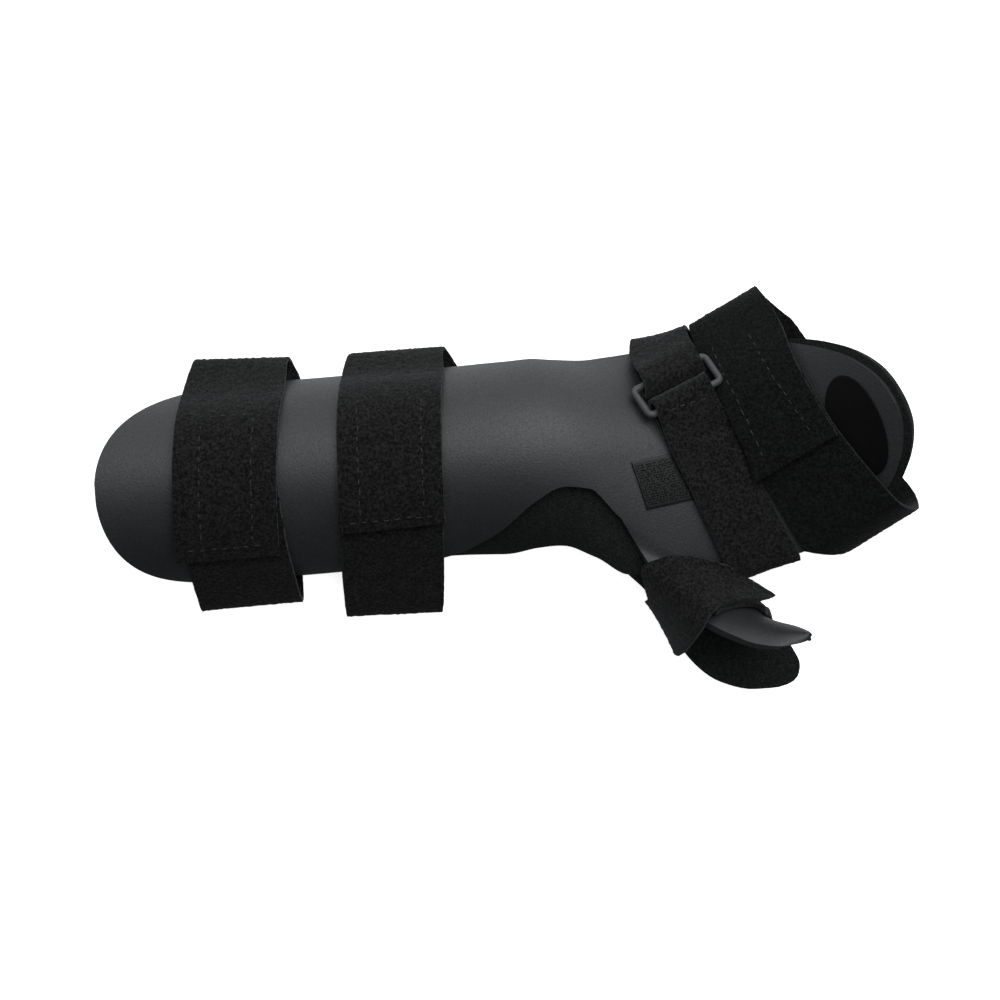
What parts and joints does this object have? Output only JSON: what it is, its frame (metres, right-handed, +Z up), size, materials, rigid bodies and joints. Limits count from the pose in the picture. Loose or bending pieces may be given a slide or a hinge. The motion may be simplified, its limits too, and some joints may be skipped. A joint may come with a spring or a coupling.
{
  "type": "resting hand splint",
  "caption": "Moulded wrist and hand splint with a padded lining, wide loop straps, a palm strap on a ring and a thumb tongue.",
  "frame": {"origin": "on the floor under the middle of the splint's box, as it lies on its open side", "axes": "+X from the elbow end to the fingers, +Y to the little-finger side, +Z up through the palm side of the shell"},
  "size_m": [0.3122, 0.1546, 0.0565],
  "materials": {
    "moulded_sheet": "fine sandblast texture, satin",
    "lining": "knit-faced foam",
    "loop_strap": "brushed nylon loop",
    "ring_plastic": "moulded, satin",
    "hook_tape": "moulded hooks",
    "label_film": "satin film"
  },
  "bodies": {
    "root": {"shell": "moulded_sheet", "liner": "lining", "forearm_strap_proximal": "loop_strap", "forearm_strap_distal": "loop_strap", "palm_strap": "loop_strap", "strap_ring": "ring_plastic", "finger_strap": "loop_strap", "thumb_strap": "loop_strap", "palm_hook_patch": "hook_tape", "label": "label_film"}
  },
  "joints": []
}
